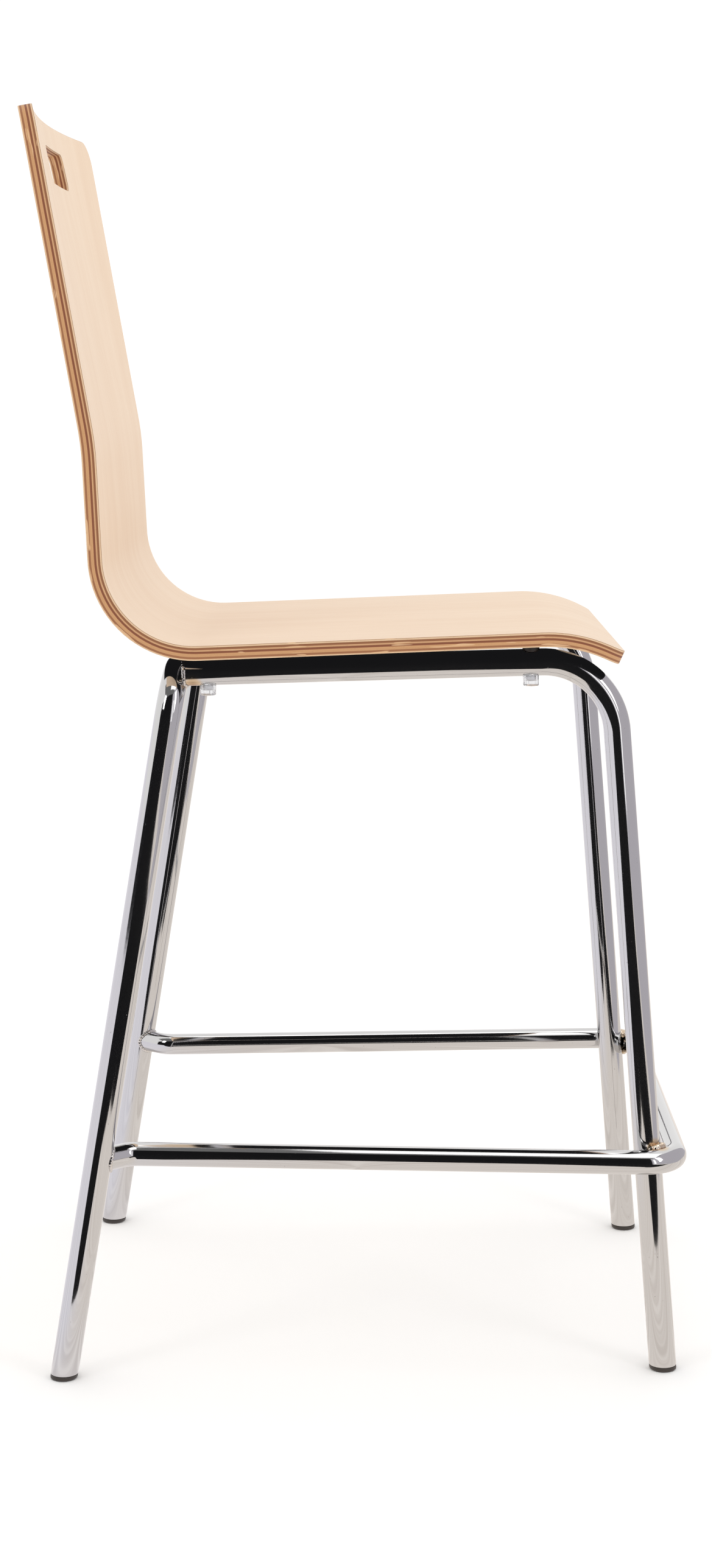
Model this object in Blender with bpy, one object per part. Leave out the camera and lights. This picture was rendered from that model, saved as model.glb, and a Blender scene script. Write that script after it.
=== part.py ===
"""Counter-height stacking chair: a bent plywood shell on a chromed tube frame with a footrest ring.

Metres, +Z up. The chair faces -Y, and its middle plane is X = 0. Lengths called "forward" are measured
towards the front from a line near the middle of the seat. place() turns them into the part's own frame,
whose origin is the middle of the footprint's box, on the floor.
"""

import math

import bmesh
import bpy
from mathutils import Vector

GAP = 0.0003

# Tubes
LEG_R = 0.0111
WALL = 0.0015
RING_R = 0.0095
TUBE_SIDES = 20
ARC_STEP = math.radians(15)

# Side tubes: front leg, bend and seat rail in one piece
SIDE_X = 0.180
FRONT_FOOT_FORWARD = 0.2285
FRONT_LEG_SLOPE = 0.0716
RAIL_REAR = (-0.1369, 0.5707)
RAIL_SLOPE = 0.0292
RAIL_END_SHORT = 0.007
FRONT_BEND_R = 0.060

# Rear hoop: two legs and the crossbar in one piece
HOOP_FOOT_X = 0.200
HOOP_TOP_X = 0.192
HOOP_FOOT_FORWARD = -0.2594
HOOP_TOP_FORWARD = -0.1702
HOOP_TOP_Z = 0.5705
HOOP_BEND_R = 0.040

# Footrest ring
RING_Z = 0.175
RING_CORNER_R = 0.026
RING_REAR_X = 0.178
RING_REAR_FORWARD = -0.208
RING_END_R = 0.020

# Glides
GLIDE_H = 0.0042
GLIDE_STEM = 0.016

# Shell
SHELL_W = 0.410
SHELL_T = 0.012
SEAT_LOW = (-0.150, 0.594)
SEAT_SLOPE = 0.0393
SEAT_TIP = (0.1966, 0.5886)
WATERFALL_ANGLE = math.radians(25)
WATERFALL_R = 0.125
LOWER_BACK = (-0.2272, 0.6505)
LOWER_BACK_SLOPE = 0.0568
REAR_BEND_R = 0.074
LUMBAR_Z = 0.757
LUMBAR_R = 0.250
BACK_SLOPE = 0.1853
BACK_TOP_Z = 1.0360
BACK_DISH = 0.014
DISH_START_Z = 0.690
TOP_CORNER_R = 0.024
FRONT_CORNER_R = 0.016
SHELL_COLUMNS = 12
SLOT_W = 0.116
SLOT_H = 0.033
SLOT_CORNER_R = 0.008
SLOT_Z = 0.9965

# Seat fixings
BOLT_FORWARDS = (0.1205, -0.1436)
BOLT_R = 0.003
BOLT_HEAD_R = 0.0048
BOLT_HEAD_H = 0.003
INSERT_R = 0.0048
INSERT_H = 0.0085
BUMPER_R = 0.0072
BUMPER_DROP = 0.0080
SPACER_R = 0.0070
SHANK_PLAY = 0.0004
WELD_BEAD = 0.0016

SIDES = (("left", -1), ("right", 1))


def foot_forward(height):
    return FRONT_FOOT_FORWARD - FRONT_LEG_SLOPE * height


def rail_height(forward):
    return RAIL_REAR[1] + RAIL_SLOPE * (forward - RAIL_REAR[0])


def hoop_at(height):
    """(sideways, forward) of a rear leg's axis at a height."""
    part = height / HOOP_TOP_Z
    sideways = HOOP_FOOT_X + (HOOP_TOP_X - HOOP_FOOT_X) * part
    return sideways, HOOP_FOOT_FORWARD + (HOOP_TOP_FORWARD - HOOP_FOOT_FORWARD) * part


def seat_height(forward):
    """Height of the sitting face on its straight stretch."""
    return SEAT_LOW[1] + SEAT_SLOPE * (forward - SEAT_LOW[0])


# The front leg nests in the ring's corner and touches it halfway round the bend. The side runs close
# in towards the rear, so the corner turns a little more than a right angle.
NEST = (RING_CORNER_R - RING_R - LEG_R - 2 * GAP) * math.cos(math.radians(45))
RING_BAR_FORWARD = foot_forward(RING_Z) - NEST + RING_CORNER_R
CLOSING = math.atan((SIDE_X + 2 * RING_R - RING_REAR_X) / (RING_BAR_FORWARD - RING_REAR_FORWARD))
RING_FRONT_X = SIDE_X - NEST + RING_CORNER_R * (1 + math.sin(CLOSING)) / math.cos(CLOSING)

BACK_TOP_FORWARD = LOWER_BACK[0] - LOWER_BACK_SLOPE * (LUMBAR_Z - LOWER_BACK[1])
BACK_TOP_FORWARD -= BACK_SLOPE * (BACK_TOP_Z - LUMBAR_Z)
BACK_LEAN = math.atan(BACK_SLOPE)
REARMOST = BACK_TOP_FORWARD - SHELL_T * math.cos(BACK_LEAN) - BACK_DISH
MIDDLE = (RING_BAR_FORWARD + RING_R + REARMOST) / 2


def place(sideways, forward, height):
    return Vector((sideways, MIDDLE - forward, height))


def rounded_path(corners, radii):
    """Points along straight runs whose inner corners are rounded to the given radii."""
    points = [corners[0]]
    for before, corner, after, radius in zip(corners, corners[1:], corners[2:], radii):
        into = (corner - before).normalized()
        out = (after - corner).normalized()
        turn = into.angle(out)
        reach = radius * math.tan(turn / 2)
        start = corner - into * reach
        inward = (out - into * into.dot(out)).normalized()
        steps = max(2, math.ceil(turn / ARC_STEP))
        for k in range(steps + 1):
            angle = turn * k / steps
            points.append(start + into * radius * math.sin(angle) + inward * radius * (1 - math.cos(angle)))
    points.append(corners[-1])
    return points


def tangents(path):
    result = []
    for k, point in enumerate(path):
        ahead = path[min(k + 1, len(path) - 1)] - point
        behind = point - path[max(k - 1, 0)]
        result.append((ahead.normalized() + behind.normalized()).normalized())
    return result


def tube_rings(path, radius, sides):
    """One ring of points around each path point, carried along without twist."""
    rings = []
    directions = tangents(path)
    side = directions[0].orthogonal().normalized()
    for point, along in zip(path, directions):
        side = (side - along * side.dot(along)).normalized()
        across = along.cross(side)
        ring = []
        for k in range(sides):
            angle = 2 * math.pi * k / sides
            ring.append(point + (side * math.cos(angle) + across * math.sin(angle)) * radius)
        rings.append(ring)
    return rings


def level_cut(ring, along, height):
    """Slides a ring's points along the tube to a horizontal cut."""
    return [point + along * ((height - point.z) / along.z) for point in ring]


def bridge(bm, rings):
    """Skins a stack of rings of bmesh vertices."""
    for low, high in zip(rings, rings[1:]):
        count = len(low)
        for k in range(count):
            bm.faces.new((low[k], low[(k + 1) % count], high[(k + 1) % count], high[k]))


def finish(bm, name, material, smooth=True):
    bmesh.ops.recalc_face_normals(bm, faces=bm.faces)
    mesh = bpy.data.meshes.new(name)
    bm.to_mesh(mesh)
    bm.free()
    if smooth:
        mesh.shade_smooth()
        mesh.set_sharp_from_angle(angle=math.radians(35))
    obj = bpy.data.objects.new(name, mesh)
    bpy.context.scene.collection.objects.link(obj)
    if material:
        obj.data.materials.append(material)
    else:
        obj.hide_render = True
        obj.display_type = "WIRE"
    return obj


def stack_solid(name, rings, material, smooth=True):
    """A closed body through rings of points, capped at both ends."""
    bm = bmesh.new()
    skins = [[bm.verts.new(point) for point in ring] for ring in rings]
    bridge(bm, skins)
    bm.faces.new(skins[0])
    bm.faces.new(skins[-1])
    return finish(bm, name, material, smooth)


def solid_tube(name, path, radius, material=None):
    return stack_solid(name, tube_rings(path, radius, TUBE_SIDES), material)


def hollow_tube(name, paths, radius, material, level_ends=(), open_ends=(0, -1)):
    """A tube from its axis and its bore's axis. Open ends show the bore, and level ends are cut flat."""
    skins = []
    bm = bmesh.new()
    for path, ring_radius in zip(paths, (radius, radius - WALL)):
        rings = tube_rings(path, ring_radius, TUBE_SIDES)
        for index in level_ends:
            rings[index] = level_cut(rings[index], tangents(path)[index], GLIDE_H)
        skins.append([[bm.verts.new(point) for point in ring] for ring in rings])
        bridge(bm, skins[-1])
    for index in (0, -1):
        if index in open_ends:
            bridge(bm, [skins[0][index], skins[1][index]])
        else:
            bm.faces.new(skins[0][index])
            bm.faces.new(skins[1][index])
    return finish(bm, name, material)


def turned(name, centre, profile, material, sides=20, hollow=False, lean=Vector((0, 0, 0))):
    """A body turned about a vertical axis, from (radius, height) pairs. lean shifts it with height."""
    rings = []
    for radius, height in profile:
        middle = centre + Vector((0, 0, height)) + lean * height
        ring = []
        for k in range(sides):
            angle = 2 * math.pi * k / sides
            ring.append(middle + Vector((math.cos(angle), math.sin(angle), 0)) * radius)
        rings.append(ring)
    if not hollow:
        return stack_solid(name, rings, material)
    bm = bmesh.new()
    skins = [[bm.verts.new(point) for point in ring] for ring in rings]
    bridge(bm, skins + skins[:1])
    return finish(bm, name, material)


def cut(obj, cutter):
    modifier = obj.modifiers.new("cut", "BOOLEAN")
    modifier.operation = "DIFFERENCE"
    modifier.object = cutter


def material(name, colour, roughness, metallic=0.0, coat=0.0):
    made = bpy.data.materials.new(name)
    made.use_nodes = True
    made.diffuse_color = (*colour, 1)
    shader = made.node_tree.nodes["Principled BSDF"]
    shader.inputs["Base Color"].default_value = (*colour, 1)
    shader.inputs["Roughness"].default_value = roughness
    shader.inputs["Metallic"].default_value = metallic
    shader.inputs["Coat Weight"].default_value = coat
    return made


def clear_scene():
    for obj in list(bpy.data.objects):
        bpy.data.objects.remove(obj)


def side_path(sign, rail_end):
    """Axis of a side tube from its foot to the rear end of its rail."""
    corner_height = rail_height(foot_forward(HOOP_TOP_Z))
    return rounded_path(
        [
            place(sign * SIDE_X, foot_forward(GLIDE_H), GLIDE_H),
            place(sign * SIDE_X, foot_forward(corner_height), corner_height),
            place(sign * SIDE_X, rail_end, rail_height(rail_end)),
        ],
        [FRONT_BEND_R],
    )


def hoop_path():
    foot = hoop_at(GLIDE_H)
    return rounded_path(
        [
            place(-foot[0], foot[1], GLIDE_H),
            place(-HOOP_TOP_X, HOOP_TOP_FORWARD, HOOP_TOP_Z),
            place(HOOP_TOP_X, HOOP_TOP_FORWARD, HOOP_TOP_Z),
            place(foot[0], foot[1], GLIDE_H),
        ],
        [HOOP_BEND_R, HOOP_BEND_R],
    )


def ring_path():
    """Axis of the footrest ring, from one rear leg's axis round to the other."""
    leg_x, leg_forward = hoop_at(RING_Z)
    return rounded_path(
        [
            place(-leg_x, leg_forward, RING_Z),
            place(-RING_REAR_X, RING_REAR_FORWARD, RING_Z),
            place(-RING_FRONT_X, RING_BAR_FORWARD, RING_Z),
            place(RING_FRONT_X, RING_BAR_FORWARD, RING_Z),
            place(RING_REAR_X, RING_REAR_FORWARD, RING_Z),
            place(leg_x, leg_forward, RING_Z),
        ],
        [RING_END_R, RING_CORNER_R, RING_CORNER_R, RING_END_R],
    )


def shell_line():
    """The sitting face's side outline, from the front tip to the top of the back."""
    tip = Vector(SEAT_TIP)
    fall = math.tan(WATERFALL_ANGLE)
    crest = (tip.y + fall * tip.x - seat_height(0)) / (SEAT_SLOPE + fall)
    heel = LOWER_BACK[0] - LOWER_BACK_SLOPE * (seat_height(LOWER_BACK[0]) - LOWER_BACK[1])
    lumbar = LOWER_BACK[0] - LOWER_BACK_SLOPE * (LUMBAR_Z - LOWER_BACK[1])
    corners = [
        tip,
        Vector((crest, seat_height(crest))),
        Vector((heel, seat_height(heel))),
        Vector((lumbar, LUMBAR_Z)),
        Vector((BACK_TOP_FORWARD, BACK_TOP_Z)),
    ]
    return rounded_path(corners, [WATERFALL_R, REAR_BEND_R, LUMBAR_R])


def resampled(line, ends, step):
    """Adds points near both ends, for the rounded corners, and splits long runs."""
    lengths = [0.0]
    for before, after in zip(line, line[1:]):
        lengths.append(lengths[-1] + (after - before).length)
    total = lengths[-1]
    wanted = set(lengths)
    for radius, from_start in zip(ends, (True, False)):
        for k in range(1, 7):
            distance = radius * (1 - math.cos(math.radians(15 * k)))
            wanted.add(distance if from_start else total - distance)
    wanted |= {step * k for k in range(1, int(total / step))}
    kept = [0.0]
    for place_on in sorted(wanted):
        if place_on - kept[-1] > 0.0012:
            kept.append(place_on)
    points = []
    for place_on in kept:
        k = min(max(i for i, length in enumerate(lengths) if length <= place_on + 1e-9), len(line) - 2)
        part = (place_on - lengths[k]) / (lengths[k + 1] - lengths[k])
        points.append((line[k].lerp(line[k + 1], part), place_on))
    return points, total


def half_width(along, total):
    """Half the shell's width at a distance along it, with the rounded corners taken off."""
    half = SHELL_W / 2
    for radius, distance in ((FRONT_CORNER_R, along), (TOP_CORNER_R, total - along)):
        if distance < radius:
            half -= radius - math.sqrt(max(0.0, radius**2 - (radius - distance) ** 2))
    return half


def dish(height, sideways):
    """How far the back is pressed rearwards at a place on it."""
    rise = min(1.0, max(0.0, (height - DISH_START_Z) / (BACK_TOP_Z - DISH_START_Z)))
    return BACK_DISH * rise * (1 - (sideways / (SHELL_W / 2)) ** 2)


def seat_shell(ply):
    points, total = resampled(shell_line(), (FRONT_CORNER_R, TOP_CORNER_R), 0.045)
    directions = tangents([point for point, _ in points])
    bm = bmesh.new()
    faces = []
    for (point, along), direction in zip(points, directions):
        normal = Vector((-direction.y, direction.x))
        row = []
        for depth in (0.0, SHELL_T):
            half = half_width(along, total)
            line = []
            for k in range(SHELL_COLUMNS + 1):
                sideways = half * (2 * k / SHELL_COLUMNS - 1)
                at = point + normal * depth
                back = dish(point.y, sideways)
                line.append(bm.verts.new(place(sideways, at.x - back, at.y)))
            row.append(line)
        faces.append(row[0] + row[1][::-1])
    bridge(bm, faces)
    for ring in (faces[0], faces[-1]):
        count = SHELL_COLUMNS + 1
        for k in range(count - 1):
            bm.faces.new((ring[k], ring[k + 1], ring[-k - 2], ring[-k - 1]))
    return finish(bm, "seat_shell", ply)


def slot_cutter():
    """A bar with rounded corners that passes through the back."""
    wide = SLOT_W / 2 - SLOT_CORNER_R
    high = SLOT_H / 2 - SLOT_CORNER_R
    forward = BACK_TOP_FORWARD - BACK_DISH + BACK_SLOPE * (BACK_TOP_Z - SLOT_Z)
    rings = []
    for depth in (-0.05, 0.04):
        ring = []
        for k in range(24):
            angle = 2 * math.pi * (k + 0.5) / 24
            sideways = math.cos(angle) * SLOT_CORNER_R + math.copysign(wide, math.cos(angle))
            rise = math.sin(angle) * SLOT_CORNER_R + math.copysign(high, math.sin(angle))
            ring.append(place(sideways, forward + depth, SLOT_Z + rise + depth * math.sin(BACK_LEAN)))
        rings.append(ring)
    return stack_solid("slot_cutter", rings, None)


def hole(name, centre, radius, low, high):
    return turned(name, Vector((centre.x, centre.y, 0)), [(radius, low), (radius, high)], None, sides=16)


def glide(name, sign, axis_at, rubber):
    """A foot plug: a pad under the tube's end and a stem up its bore."""
    low_x, low_forward = axis_at(0.0)
    high_x, high_forward = axis_at(1.0)
    centre = place(sign * low_x, low_forward, 0.0)
    lean = place(sign * high_x, high_forward, 1.0) - centre - Vector((0, 0, 1))
    pad_top = GLIDE_H - GAP
    stem = LEG_R - WALL - GAP
    profile = [
        (LEG_R - 0.0022, 0.0),
        (LEG_R - 0.0006, 0.0006),
        (LEG_R, 0.0018),
        (LEG_R, pad_top),
        (stem, pad_top),
        (stem - 0.0002, GLIDE_STEM),
        (stem - 0.0015, GLIDE_STEM + 0.0015),
    ]
    return turned(name, centre, profile, rubber, sides=24, lean=lean)


def hex_bumper(name, centre, low, clear):
    """A six-sided cap that covers a bolt's head, open at the top."""
    height = BUMPER_DROP + 0.0035
    rings = []
    for radius, up in ((BUMPER_R - 0.001, 0), (BUMPER_R, 0.001), (BUMPER_R, height)):
        ring = []
        for k in range(6):
            for nudge in (-0.16, 0.16):
                angle = math.pi / 3 * k + nudge
                offset = Vector((math.cos(angle), math.sin(angle), 0)) * radius
                ring.append(Vector((centre.x, centre.y, low + up)) + offset)
        rings.append(ring)
    return stack_solid(name, rings, clear)


def seat_fixings(side, sign, rail, rail_cutter, shell, finishes):
    """Bolts through the rail into the shell, with their inserts, caps and the front spacers."""
    black, clear, steel = finishes
    for row, forward in zip(("front", "rear"), BOLT_FORWARDS):
        name = f"{row}_{side}"
        centre = place(sign * SIDE_X, forward, 0)
        tube_bottom = rail_height(forward) - LEG_R
        underside = seat_height(forward) - SHELL_T
        insert_low = underside + GAP
        insert_top = insert_low + INSERT_H
        head_top = tube_bottom - GAP
        head_low = head_top - BOLT_HEAD_H

        shank_hole = hole(f"{name}_shank_hole", centre, BOLT_R + SHANK_PLAY, head_low, underside)
        cut(rail, shank_hole)
        pocket = hole(f"{name}_pocket", centre, INSERT_R + GAP, underside - 0.005, insert_top + GAP)
        cut(shell, pocket)

        insert = [(INSERT_R, insert_low), (INSERT_R, insert_top)]
        insert += [(BOLT_R + GAP, insert_top), (BOLT_R + GAP, insert_low)]
        turned(f"{name}_insert_nut", centre, insert, steel, sides=16, hollow=True)
        bolt = [
            (BOLT_HEAD_R - 0.0012, head_low),
            (BOLT_HEAD_R, head_low + 0.0012),
            (BOLT_HEAD_R, head_top),
            (BOLT_R, head_top),
            (BOLT_R, insert_top - 0.001),
        ]
        turned(f"{name}_bolt", centre, bolt, steel, sides=16)

        cap = hex_bumper(f"{name}_bumper", centre, tube_bottom - BUMPER_DROP, clear)
        cut(cap, rail_cutter)
        cut(cap, hole(f"{name}_cap_hole", centre, BOLT_HEAD_R + GAP, head_low - GAP, underside))
        if row == "front":
            disc = [(SPACER_R, tube_bottom + LEG_R + 0.007), (SPACER_R, underside - 2 * GAP)]
            spacer = turned(f"{name}_spacer", centre, disc, black)
            cut(spacer, rail_cutter)
            cut(spacer, shank_hole)


def welds(side, sign, cutters, weld):
    """The weld beads on one side, each trimmed to the tubes that it joins."""
    hoop_cutter, ring_cutter, rail_cutter = cutters

    rear = HOOP_TOP_FORWARD + 0.002
    front = HOOP_TOP_FORWARD + LEG_R + 0.0045
    along_rail = [place(sign * SIDE_X, forward, rail_height(forward)) for forward in (rear, front)]
    rail_weld = solid_tube(f"{side}_rail_weld", along_rail, LEG_R + WELD_BEAD, weld)
    cut(rail_weld, rail_cutter)
    cut(rail_weld, hoop_cutter)
    headroom = hole(f"{side}_headroom", along_rail[0], 3 * LEG_R, HOOP_TOP_Z + 0.85 * LEG_R, SEAT_LOW[1])
    cut(rail_weld, headroom)

    leg_x, leg_forward = hoop_at(RING_Z)
    leg = place(sign * leg_x, leg_forward, RING_Z)
    knee = place(sign * RING_REAR_X, RING_REAR_FORWARD, RING_Z)
    towards = (knee - leg).normalized()
    along_ring = [leg + towards * (LEG_R - 0.004), leg + towards * (LEG_R + 0.004)]
    rear_weld = solid_tube(f"rear_{side}_ring_weld", along_ring, RING_R + WELD_BEAD, weld)
    cut(rear_weld, ring_cutter)
    cut(rear_weld, hoop_cutter)

    for level, up in (("upper", 1), ("lower", -1)):
        height = RING_Z + up * 0.0075
        bead = []
        for k in range(-4, 5):
            angle = math.radians(45 + 11 * k)
            radius = LEG_R + 0.002
            sideways = SIDE_X + radius * math.cos(angle)
            bead.append(place(sign * sideways, foot_forward(height) + radius * math.sin(angle), height))
        front_weld = solid_tube(f"front_{side}_{level}_ring_weld", bead, 0.0032, weld)
        cut(front_weld, ring_cutter)
        cut(front_weld, rail_cutter)


def build():
    clear_scene()
    chrome = material("chrome", (0.86, 0.86, 0.88), 0.06, 1.0)
    ply = material("maple_plywood", (0.86, 0.71, 0.53), 0.38, coat=0.3)
    black = material("black_plastic", (0.035, 0.027, 0.024), 0.45)
    clear = material("clear_plastic", (0.86, 0.86, 0.86), 0.1, coat=0.5)
    steel = material("zinc_steel", (0.62, 0.62, 0.64), 0.32, 1.0)
    weld = material("weld_metal", (0.62, 0.48, 0.34), 0.25, 1.0)

    hoop = hoop_path()
    hollow_tube("rear_hoop", (hoop, hoop), LEG_R, chrome, level_ends=(0, -1))
    hoop_cutter = solid_tube("hoop_cutter", hoop, LEG_R + GAP)
    ring = hollow_tube("footrest_ring", (ring_path(), ring_path()), RING_R, chrome)
    cut(ring, hoop_cutter)
    ring_cutter = solid_tube("ring_cutter", ring_path(), RING_R + GAP)
    shell = seat_shell(ply)
    cut(shell, slot_cutter())

    for side, sign in SIDES:
        axis = side_path(sign, HOOP_TOP_FORWARD + RAIL_END_SHORT)
        bore = side_path(sign, HOOP_TOP_FORWARD + 2.2 * LEG_R)
        rail = hollow_tube(
            f"{side}_side_tube", (axis, bore), LEG_R, chrome, level_ends=(0,), open_ends=(0,)
        )
        cut(rail, hoop_cutter)
        rail_cutter = solid_tube(f"{side}_rail_cutter", axis, LEG_R + GAP)
        seat_fixings(side, sign, rail, rail_cutter, shell, (black, clear, steel))
        welds(side, sign, (hoop_cutter, ring_cutter, rail_cutter), weld)
        glide(f"front_{side}_glide", sign, lambda height: (SIDE_X, foot_forward(height)), black)
        glide(f"rear_{side}_glide", sign, hoop_at, black)


build()
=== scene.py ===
# %% [markdown]
# # A counter-height stacking chair
# The chair is a shell of bent plywood on a frame of chromed steel tube, with a ring to rest the feet on.
# The engineering model is loaded first and stays where it is. Each piece that shows is then modelled again,
# finer, in the same place, so every number below is in metres in that model's own frame: +Z is up, the chair
# faces -Y, and X = 0 is its middle plane.

# %% Load the frame
import math

import bmesh
import bpy
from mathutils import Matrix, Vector
from mathutils.bvhtree import BVHTree


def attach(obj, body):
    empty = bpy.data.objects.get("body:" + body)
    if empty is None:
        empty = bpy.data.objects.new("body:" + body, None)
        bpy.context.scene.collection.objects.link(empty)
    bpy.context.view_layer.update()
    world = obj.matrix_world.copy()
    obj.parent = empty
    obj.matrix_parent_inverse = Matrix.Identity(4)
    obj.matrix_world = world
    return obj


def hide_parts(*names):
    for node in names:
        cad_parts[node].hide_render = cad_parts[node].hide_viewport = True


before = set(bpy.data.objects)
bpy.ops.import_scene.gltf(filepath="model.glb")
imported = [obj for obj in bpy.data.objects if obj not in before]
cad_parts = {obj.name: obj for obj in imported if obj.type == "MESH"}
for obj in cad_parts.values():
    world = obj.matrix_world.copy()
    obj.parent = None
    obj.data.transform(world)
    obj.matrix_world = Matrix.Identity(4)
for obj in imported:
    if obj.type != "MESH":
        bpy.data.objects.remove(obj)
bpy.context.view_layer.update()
print("pieces in the engineering model:", len(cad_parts))

# %% [markdown]
# ## Small helpers
# Every operator acts on what is selected and on the active object, and loading the frame leaves its pieces
# selected. So each piece starts with nothing selected. Edges or faces are then picked by a question about
# their place, which reads easily and gives the same result on every run.

# %% Selecting and editing
scene = bpy.context.scene
SIDES = (("left", -1), ("right", 1))


def activate(obj):
    bpy.ops.object.select_all(action="DESELECT")
    obj.select_set(True)
    bpy.context.view_layer.objects.active = obj


def edit(obj, kind="EDGE"):
    """Goes into edit mode with nothing selected."""
    activate(obj)
    bpy.ops.object.mode_set(mode="EDIT")
    bpy.ops.mesh.select_mode(type=kind)
    bpy.ops.mesh.select_all(action="DESELECT")


def done():
    bpy.ops.object.mode_set(mode="OBJECT")


def pick(obj, kind, wanted):
    """Selects the verts, edges or faces of the mesh being edited for which wanted() says yes."""
    mesh = bmesh.from_edit_mesh(obj.data)
    count = 0
    for item in getattr(mesh, kind):
        if wanted(item):
            item.select_set(True)
            count += 1
    mesh.select_flush_mode()
    bmesh.update_edit_mesh(obj.data)
    return count


def middle(item):
    """The middle of an edge or a face."""
    return sum((vert.co for vert in item.verts), Vector()) / len(item.verts)


# %% Modifiers
def modify(obj, kind, **settings):
    """Adds a modifier and applies it."""
    activate(obj)
    modifier = obj.modifiers.new(kind.lower(), kind)
    for name, value in settings.items():
        setattr(modifier, name, value)
    bpy.ops.object.modifier_apply(modifier=modifier.name)


def carve(obj, cutter, keep_cutter=False):
    """Takes the cutter's volume out of the piece."""
    modify(obj, "BOOLEAN", operation="DIFFERENCE", object=cutter, solver="EXACT")
    if not keep_cutter:
        bpy.data.objects.remove(cutter)


# %% Settling, mending and shading a mesh
def settle():
    """Moves the new object's place into its mesh, so that the object itself sits at the origin."""
    bpy.ops.object.transform_apply(location=True, rotation=True, scale=True)
    return bpy.context.object


def recalculate(obj):
    edit(obj)
    bpy.ops.mesh.select_all(action="SELECT")
    bpy.ops.mesh.remove_doubles(threshold=0.000002)
    bpy.ops.mesh.normals_make_consistent(inside=False)
    done()


def smooth(obj, degrees=35):
    """Shades smoothly across shallow edges, and lets the large faces set the shading."""
    activate(obj)
    bpy.ops.object.shade_smooth_by_angle(angle=math.radians(degrees))
    modify(obj, "WEIGHTED_NORMAL", mode="FACE_AREA", weight=50, keep_sharp=True)


# %% Copying, dressing and reporting
def twin(obj, name, shift):
    """A copy with its own mesh, moved by shift."""
    copy = obj.copy()
    copy.data = obj.data.copy()
    copy.name = name
    copy.data.name = name
    scene.collection.objects.link(copy)
    edit(copy)
    bpy.ops.mesh.select_all(action="SELECT")
    bpy.ops.transform.translate(value=shift)
    done()
    return copy


def dress(obj, finish, slot, *nodes):
    """Gives a piece its finish, hangs it on the root body and hides the engineering pieces that it stands
    for.
    """
    obj.data.materials.clear()
    obj.data.materials.append(finish)
    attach(obj, "root")
    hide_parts(*nodes)


def report(*pieces):
    for obj in pieces:
        corners = [Vector(corner) for corner in obj.bound_box]
        size = [max(c[i] for c in corners) - min(c[i] for c in corners) for i in range(3)]
        print(f"{obj.name}: {len(obj.data.polygons)} faces, {[round(1000 * s, 1) for s in size]} mm")


# %% [markdown]
# ## The chair's measurements
# These repeat the route of each tube and the side outline of the shell, as the engineering model has them.
# "Forward" counts towards the front of the seat, and place() turns it into the frame's own Y.

# %% Measurements
MIDDLE = -0.03134
LEG_R = 0.0111
RING_R = 0.0095
WALL = 0.0015
FLOOR_GAP = 0.0042
GAP = 0.0003

FRONT_FOOT = 0.2285
FRONT_SLOPE = 0.0716
REAR_FOOT = -0.2594
REAR_FOOT_X = 0.200
REAR_LEAN = 0.0892
HOOP_X = 0.192
HOOP_DRIFT = 0.008
SEAT_REAR = -0.150
SEAT_REAR_Z = 0.594
SEAT_SLOPE = 0.0393
SIDE_X = 0.180
RAIL_REAR = -0.1369
RAIL_REAR_Z = 0.5707
RAIL_SLOPE = 0.0292
HOOP_TOP_Z = 0.5705
HOOP_TOP_FORWARD = -0.1702
RAIL_END = HOOP_TOP_FORWARD + 0.007


def place(sideways, forward, height):
    return Vector((sideways, MIDDLE - forward, height))


def front_leg(height):
    """How far forward a front leg is at a height."""
    return FRONT_FOOT - FRONT_SLOPE * height


def rail_z(forward):
    return RAIL_REAR_Z + RAIL_SLOPE * (forward - RAIL_REAR)


def seat_z(forward):
    """Height of the sitting face on its straight stretch."""
    return SEAT_REAR_Z + SEAT_SLOPE * (forward - SEAT_REAR)


def rear_leg(height):
    """(sideways, forward) of a rear leg at a height."""
    part = height / HOOP_TOP_Z
    return REAR_FOOT_X - HOOP_DRIFT * part, REAR_FOOT + REAR_LEAN * part


print("rail runs at", round(rail_z(0), 4), "m, front foot at", front_leg(0), "m forward")

# %% [markdown]
# ## Shader maths
# A finish is a sum of patterns. Wire wraps one socket of a material, so the sum can be written as Python
# arithmetic, and each operation adds its Math node. Any other node comes from node(), which sets the node's
# choices first and then its sockets.

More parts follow.
